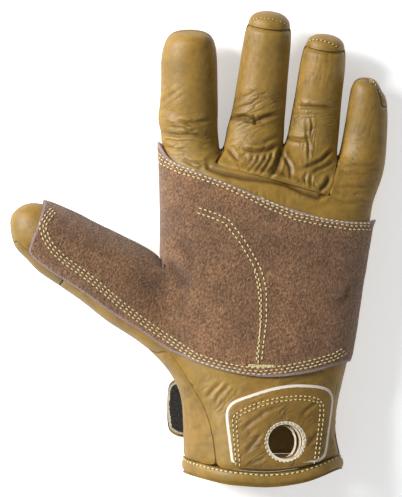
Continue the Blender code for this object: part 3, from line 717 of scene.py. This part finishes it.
# The suede patch: split hide with a dense short nap, brown with paler and darker flecks, and a raw
# mauve-grey edge. It lies over the palm and the thumb, and three rows of stitches hold it down.
SUEDE_LIGHT = (0.407, 0.232, 0.109)
SUEDE_MIDDLE = (0.199, 0.099, 0.042)
SUEDE_DEEP = (0.058, 0.025, 0.009)
SUEDE_EDGE = (0.300, 0.205, 0.190)


def suede_material(name):
    made = bpy.data.materials.new(name)
    made.use_nodes = True
    tree = made.node_tree
    shader = tree.nodes["Principled BSDF"]
    shader.inputs["Roughness"].default_value = 0.95
    shader.inputs["Sheen Weight"].default_value = 0.25
    shader.inputs["Sheen Roughness"].default_value = 0.5
    coordinate = node(tree, "ShaderNodeTexCoord", (-1400, 0)).outputs["Object"]
    nap = noise(tree, coordinate, 1150.0, 3.0, 0.70, stretch=(1.0, 0.62, 1.0), turn=25.0)
    flecks = noise(tree, coordinate, 1500.0, 3.0, 0.7)
    clouds = noise(tree, coordinate, 42.0, 4.0, 0.6)
    blots = noise(tree, coordinate, 120.0, 4.0, 0.6)
    colour = ramp(tree, nap, ((0.30, SUEDE_DEEP), (0.49, SUEDE_MIDDLE), (0.72, SUEDE_LIGHT)))
    lightness = ramp(tree, clouds, ((0.32, (0.72, 0.70, 0.70)), (0.66, (1.12, 1.08, 1.06))))
    colour = mixed(tree, 1.0, colour, lightness, "MULTIPLY")
    shade = ramp(tree, blots, ((0.34, (0.88, 0.87, 0.87)), (0.62, (1.08, 1.07, 1.06))))
    colour = mixed(tree, 1.0, colour, shade, "MULTIPLY")
    edge = math_node(tree, "ADD", attribute(tree, "edge"), math_node(tree, "MULTIPLY", flecks, 0.9))
    band = math_node(tree, "LESS_THAN", edge, 1.75)
    colour = mixed(tree, band, colour, SUEDE_EDGE)
    # Painted shade: the suede darkens where it lies deep in a fold.
    crease_shade = math_node(tree, "MULTIPLY", attribute(tree, "crease"), 0.7, clamp=True)
    colour = mixed(tree, crease_shade, colour, SUEDE_DEEP)
    tree.links.new(colour, shader.inputs["Base Color"])
    height = math_node(tree, "ADD", nap, math_node(tree, "MULTIPLY", flecks, 0.5))
    bumped(tree, shader, height, 0.0013)
    return made


suede = suede_material("brown_suede")
suede_cut = flesh_material("cut_suede_edge", SUEDE_EDGE, (0.150, 0.095, 0.085), 900.0)
PATCH_FOLDS = (
    Fold(((166, 258), (176, 272), (190, 290)), 1.1, 3.2),
    Fold(((178, 240), (196, 262)), 0.6, 2.6),
    Fold(((350, 282), (345, 296), (338, 306)), 0.5, 1.4),
    Fold(((298, 300), (306, 294)), 0.4, 1.0),
)
PATCH_PUSHES = GLOVE_PUSHES + (Push(158, 148, 11, -1.0, 12.0, 0.3), Push(374, 217, 6, 2.5, 1.0, 0.6))
patch = dress("suede_patch", 3, (suede, suede_cut, suede_cut), PATCH_FOLDS, turn_in=0.0003, turn_width=0.0007,
              pushes=PATCH_PUSHES, lumps=0.00022)

# The patch wraps on round the root of the thumb, where no cut edge of it shows.
FAR_FROM_EDGE = 9.0
THUMB_ROOT = seen(163, 260)
THUMB_ROOT_REACH = 13 * PIXEL
patch_edge = patch.data.attributes["edge"].data
for vertex in patch.data.vertices:
    if (vertex.co.to_2d() - THUMB_ROOT).length < THUMB_ROOT_REACH:
        patch_edge[vertex.index].value = FAR_FROM_EDGE

# The tab on the cuff: a plate of the same leather, sewn down with two rows round the hole that the glove is
# clipped up by. Its cut edge shows pale, and its lower end runs into the hem without one.
TAB_FOLDS = (
    Fold(((240, 428), (252, 418), (266, 408), (282, 402)), 0.45, 1.0),
    Fold(((244, 450), (256, 436), (262, 428)), 0.4, 1.0),
    Fold(((300, 412), (310, 404), (318, 398)), 0.4, 0.9),
    Fold(((246, 463), (258, 456), (266, 453)), 0.35, 0.9),
    Fold(((303, 445), (312, 436), (317, 428)), 0.35, 0.9),
)
TAB_WRINKLES = (
    Wrinkles(262, 415, 36, 30, 34, 2.2, 0.26),
    Wrinkles(300, 440, 26, 36, 38, 2.4, 0.24),
    Wrinkles(248, 452, 20, 24, 40, 2.4, 0.22),
)
TAB_BAND = 1.5
tab_leather = leather_material("tab_grain_leather", (0.90, 0.87, 0.84), TAB_BAND)
tab = dress("clip_tab", 2, (tab_leather, raw_leather, raw_leather), TAB_FOLDS, TAB_WRINKLES, turn_in=0.0005,
            turn_width=0.0014, windows=(Window(215, 380, 335, 480),))

TAB_FOOT = seen(276, 459)
TAB_FOOT_HALF = 45 * PIXEL
tab_edge = tab.data.attributes["edge"].data
for vertex in tab.data.vertices:
    if vertex.co.y < TAB_FOOT.y and abs(vertex.co.x - TAB_FOOT.x) < TAB_FOOT_HALF:
        tab_edge[vertex.index].value = FAR_FROM_EDGE

# The layers under the tab: raw leather, sewn in behind it. Their holes sit a little to the left of the
# tab's own, so that their cut edges show at the right inside it.
HOLE = (283.3, 438.8)
PROBE_REACH = 21
RIM_SCALES = (1.0, 1.14, 1.30)
RIM_DROPS = (0.9, 0.0, 0.25)


def surface_of(piece):
    bm = bmesh.new()
    bm.from_mesh(piece.data)
    tree = BVHTree.FromBMesh(bm)
    bm.free()
    return tree


def over(tree, column, row, from_below=False):
    """The point of a surface that is seen at a pixel, and the way out of it, or None beside the piece."""
    spot = seen(column, row)
    start = Vector((spot.x, spot.y, -0.05 if from_below else 0.2))
    place, normal, index, gap = tree.ray_cast(start, Vector((0, 0, 1 if from_below else -1)))
    if place is None:
        return None
    return place, normal if normal.dot(start - place) > 0 else -normal


tab_surface = surface_of(tab)
Layer = namedtuple("Layer", "right wide high drop")
HOLE_LAYERS = (Layer(-1.5, 15.6, 16.2, 1.5), Layer(-3.6, 13.4, 15.9, 2.4))
high_spot = over(tab_surface, HOLE[0], HOLE[1] - PROBE_REACH)[0]
low_spot = over(tab_surface, HOLE[0], HOLE[1] + PROBE_REACH)[0]
left_spot = over(tab_surface, HOLE[0] - PROBE_REACH, HOLE[1])[0]
right_spot = over(tab_surface, HOLE[0] + PROBE_REACH, HOLE[1])[0]
centre = (high_spot + low_spot + left_spot + right_spot) / 4
slope_up = (high_spot - low_spot) / (high_spot - low_spot).to_2d().length
slope_right = (right_spot - left_spot) / (right_spot - left_spot).to_2d().length
layers_bm = bmesh.new()
for layer in HOLE_LAYERS:
    rims = [bmesh.ops.create_circle(layers_bm, cap_ends=False, segments=48, radius=scale)["verts"]
            for scale in RIM_SCALES]
    for rim, rim_drop in zip(rims, RIM_DROPS):
        sink = rim_drop + layer.drop
        for vertex in rim:
            right = (vertex.co.x * layer.wide + layer.right) * PIXEL
            up = vertex.co.y * layer.high * PIXEL
            jag = 0.00012 * perlin.noise(vertex.co * 9.0 + Vector((layer.drop, 0, 0)))
            level = centre + slope_right * (right + jag) + slope_up * (up + jag)
            vertex.co = level - Vector((0, 0, sink / 1000))
    for inner, outer in zip(rims, rims[1:]):
        edges = {edge for vertex in inner + outer for edge in vertex.link_edges}
        layers_bm.edges.index_update()
        bmesh.ops.bridge_loops(layers_bm, edges=sorted(edges, key=lambda edge: edge.index))
bmesh.ops.recalc_face_normals(layers_bm, faces=layers_bm.faces)
for face in layers_bm.faces:
    if face.normal.z < 0:
        face.normal_flip()
    face.smooth = True
layers = new_object("hole_layer_edges", layers_bm, [raw_leather])
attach(layers, "root")


# The hem is the cuff's leather rolled over at its mouth and closed with one row of stitches. The strap is a
# band of the same leather across the back of the cuff, and its free end shows beside it.
hem = dress("hem_roll", 3, (palm_leather, palm_leather, shaded_inside), turn_in=0.0011, turn_width=0.0016)
strap = dress("closure_strap", 3, (back_leather, seam_leather, back_leather))


# The hook tape is a stiff black nylon strip sewn to the strap's free end, with pale worn ends at its edge.
# The loop tape is its soft black partner, sewn to the back of the cuff under the strap.
def tape_material(name, pale_edge):
    made = plain_material(name, (0.010, 0.009, 0.008), 0.75)
    tree = made.node_tree
    coordinate = node(tree, "ShaderNodeTexCoord", (-1400, 0)).outputs["Object"]
    pile = noise(tree, coordinate, 1300.0, 3.0, 0.7)
    colour = ramp(tree, pile,
                  ((0.45, (0.006, 0.005, 0.004)), (0.60, (0.035, 0.031, 0.026)), (0.72, (0.16, 0.15, 0.12))))
    if pale_edge:
        worn = math_node(tree, "MULTIPLY", noise(tree, coordinate, 520.0, 3.0, 0.7), 2.3)
        worn = math_node(tree, "LESS_THAN", math_node(tree, "ADD", attribute(tree, "edge"), worn), pale_edge)
        colour = mixed(tree, worn, colour, (0.50, 0.45, 0.34))
    tree.links.new(colour, tree.nodes["Principled BSDF"].inputs["Base Color"])
    bumped(tree, tree.nodes["Principled BSDF"], pile, 0.0012)
    return made


hook_tape = tape_material("black_hook_tape", 2.3)
loop_tape = tape_material("black_loop_tape", 0.0)
dress("hook_pad", 4, (hook_tape, raw_leather, hook_tape), turn_in=0.0004, turn_width=0.0010,
      pushes=(Push(166, 405, 34, -2.8, 0.0, 0.15),), lumps=0.00025)
dress("loop_pad", 3, (loop_tape, loop_tape, loop_tape), turn_in=0.0002, lumps=0.0001)


# The sewing: straw-coloured thread in short stitches, pulled a little into the hide, with a flat dark disc of
# painted shade for the mouth of a needle hole between each two.
THREAD = (0.780, 0.660, 0.330)
STITCH = (0.00185, 0.00072, 0.00062)
STITCH_PITCH = 0.00265
NEEDLE_SHIFT = 6


def thread_material(name, colour):
    made = plain_material(name, colour, 0.6)
    tree = made.node_tree
    coordinate = node(tree, "ShaderNodeTexCoord", (-1400, 0)).outputs["Object"]
    strands = noise(tree, coordinate, 2600.0, 2.0, 0.6)
    deep = tuple(part * 0.55 for part in colour)
    tree.links.new(ramp(tree, strands, ((0.35, deep), (0.60, colour))),
                   tree.nodes["Principled BSDF"].inputs["Base Color"])
    bumped(tree, tree.nodes["Principled BSDF"], strands, 0.0002)
    return made


straw_thread = thread_material("straw_thread", THREAD)
# Each needle hole is a flat dark disc: painted shade in its mouth.
needle_hole_shade = plain_material("needle_hole_painted_shade", (0.030, 0.014, 0.004), 0.95)
sewn_surfaces = {
    "palm": surface_of(palm), "front": surface_of(front), "back": surface_of(back),
    "patch": surface_of(patch), "tab": tab_surface, "hem": surface_of(hem), "strap": surface_of(strap),
}


def traced(surfaces, line, aside=0.0, from_below=False):
    """Places and ways out every 0.2 mm along a line of pixels moved aside, laid down on the surfaces."""
    flat = []
    for start, finish in zip(line, line[1:]):
        steps = max(2, int(math.hypot(finish[0] - start[0], finish[1] - start[1]) * 2.5))
        flat += [Vector(start).lerp(Vector(finish), step / steps) for step in range(steps)]
    laid = []
    for number, at in enumerate(flat):
        ahead = (flat[min(number + 9, len(flat) - 1)] - flat[max(number - 9, 0)]).normalized()
        at = at + Vector((ahead.y, -ahead.x)) * (aside / PIXEL)
        tries = [over(sewn_surfaces[name], at.x, at.y, from_below) for name in surfaces]
        hits = [hit for hit in tries if hit]
        if hits:
            laid.append(max(hits, key=lambda hit: -hit[0].z if from_below else hit[0].z))
    return laid


def spaced(laid, pitch):
    """The places at every pitch along a traced line, with the way ahead and the way out there."""
    chosen = []
    gone = pitch / 2
    for number in range(1, len(laid)):
        step = (laid[number][0] - laid[number - 1][0]).length
        if step > 0.004:
            continue
        gone += step
        if gone >= pitch:
            gone -= pitch
            ahead = laid[min(number + 4, len(laid) - 1)][0] - laid[max(number - 4, 0)][0]
            if ahead.length > 0:
                chosen.append((laid[number][0], ahead.normalized(), laid[number][1]))
    return chosen


def sew(name, rows, pitch=STITCH_PITCH, size=STITCH, thread=straw_thread, holes=0.0006, sink=0.0, slant=0.0):
    """One piece of stitches along traced rows, with painted shade for a needle hole between each two."""
    bm = bmesh.new()
    for row in rows:
        for place, ahead, out in spaced(row, pitch):
            side = out.cross(ahead).normalized()
            wobble = perlin.noise(place * 900.0)
            way = (ahead + side * (slant + 0.10 * wobble)).normalized()
            side = out.cross(way).normalized()
            turn = Matrix((way, side, out)).transposed().to_4x4()
            turn.translation = place + out * (size[2] * (0.18 + 0.12 * wobble) - sink)
            scale = Matrix.Diagonal((size[0] * (1 + 0.12 * wobble) / 2, size[1] / 2, size[2] / 2, 1))
            bmesh.ops.create_uvsphere(bm, u_segments=6, v_segments=5, radius=1.0, matrix=turn @ scale
                                      @ Matrix.Rotation(math.pi / 2, 4, "Y"))
    stitch_faces = len(bm.faces)
    if holes:
        for row in rows:
            for place, ahead, out in spaced(row[NEEDLE_SHIFT:], pitch):
                turn = out.to_track_quat("Z", "Y").to_matrix().to_4x4()
                turn.translation = place + out * 0.00002
                scale = Matrix.Diagonal((holes / 2, holes / 2, 0.00012, 1))
                bmesh.ops.create_uvsphere(bm, u_segments=7, v_segments=4, radius=1.0, matrix=turn @ scale)
    for number, face in enumerate(bm.faces):
        face.smooth = True
        face.material_index = 0 if number < stitch_faces else 1
    made = new_object(name, bm, [thread, needle_hole_shade])
    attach(made, "root")
    return made


# Three rows along the patch's upper edge, three round its thumb end and lower edge, and the rows over the
# ball of the thumb, which end in a bar of close stitches.
PATCH_TOP = (
    (160, 147), (168, 154.5), (184, 162.5), (203, 168), (227, 176.5), (250, 187), (269, 196.5),
    (298, 209), (327, 214.5), (351, 218), (370, 218),
)
PATCH_FOOT = (
    (50, 205), (44, 212), (38, 222), (38, 231), (42, 243), (50, 255), (62, 266.5), (77, 277), (92, 288.5),
    (115, 308.5), (135, 324.5), (160, 342), (180, 355), (194, 363.5), (217, 371), (241, 376),
    (260, 377.5), (286, 375), (312, 370), (335, 363.5), (348, 357),
)
TOP_ROWS = (-0.0027, -0.0041, -0.0059)
FOOT_ROWS = (0.0026, 0.0041, 0.0057)
sew("patch_head_stitches", [traced(("patch",), PATCH_TOP, aside) for aside in TOP_ROWS])
sew("patch_foot_stitches", [traced(("patch",), PATCH_FOOT, aside) for aside in FOOT_ROWS])
THENAR = (
    (197, 211), (212, 216), (226, 222), (234.6, 233), (241.5, 242), (247.3, 252), (253.3, 262),
    (257.6, 271), (260.5, 281), (262.2, 290), (262.5, 317), (261, 330), (259, 345), (257.5, 361),
)
THENAR_LOW = ((258, 268), (262, 285), (264, 305), (264, 325), (263, 345), (262, 361))
sew("thenar_stitches", [traced(("patch",), THENAR, aside) for aside in (0.0016, -0.0010)]
    + [traced(("patch",), THENAR_LOW, -0.0024)])
BAR = ((247.5, 363.6), (260, 364.2), (273.4, 364.2))
sew("bar_tack", [traced(("patch",), BAR, aside) for aside in (0.00035, -0.00035)], pitch=0.0009,
    size=(0.0014, 0.0007, 0.0007), holes=0.0)

# Two rows inside the tab's cut edge, a ring round its hole, and the row that closes the hem all round the
# cuff, in the same thread.
TAB_EDGE = (
    (229.5, 471), (228, 450), (226.5, 432), (225.5, 416), (228.5, 408), (238, 401.5), (251.4, 395.5),
    (264, 391.5), (277.4, 388.5), (296, 386.8), (312, 388.2), (322, 392), (328, 400), (329, 410),
    (327.5, 424), (325.5, 440), (322.5, 462),
)
sew("tab_stitches", [traced(("tab",), TAB_EDGE, aside) for aside in (-0.0034, -0.0052)], pitch=0.0024,
    size=(0.0017, 0.00068, 0.0006))
RING_REACH = 19.3
ring = [(HOLE[0] + RING_REACH * math.cos(math.radians(angle)),
         HOLE[1] + RING_REACH * math.sin(math.radians(angle)))
        for angle in range(0, 364, 4)]
sew("hole_stitches", [traced(("tab",), ring)], pitch=0.0021, size=(0.0016, 0.0007, 0.0007))
HEM_LINE = (
    (182, 457), (188, 461), (206, 465), (234, 469), (262, 471.5), (284, 470.5), (300, 468), (318, 462.5),
    (336, 456),
)
cuff = ("palm", "back", "tab", "hem")
sew("hem_stitches", [traced(cuff, HEM_LINE)], pitch=0.0026, size=(0.0019, 0.0009, 0.0008), holes=0.0008)
HEM_BACK = [(column, 455.5) for column in range(186, 344, 4)]
sew("hem_back_stitches", [traced(("back", "hem"), HEM_BACK, from_below=True)], pitch=0.0026,
    size=(0.0019, 0.0009, 0.0008), holes=0.0008)

# The seams where the back leather folds over the fingertips: small stitches pulled tight, so that the painted
# shade of the needle holes shows more than the thread.
TIP_SEAMS = (
    (("front", "back"), ((246, 23), (252, 20.5), (261, 19.5), (272, 21), (281, 23.5), (288, 26.5))),
    (("front", "back"), ((306, 42), (312, 40.5), (321, 41.5), (330, 44.5), (338, 48.5), (343, 52))),
    (("palm", "back"), ((371, 79), (375, 85), (379, 92), (384, 99), (388, 106))),
)
sew("fingertip_stitches", [traced(names, line) for names, line in TIP_SEAMS], pitch=0.0021,
    size=(0.0011, 0.0005, 0.0005), holes=0.0010)

# The fixed end of the strap is sewn to the back of the cuff with a box of stitches. The photograph doesn't
# show it.
STRAP_BOX = ((262, 394), (308, 394), (308, 440), (262, 440), (262, 394))
sew("strap_stitches", [traced(("strap",), STRAP_BOX, from_below=True)])
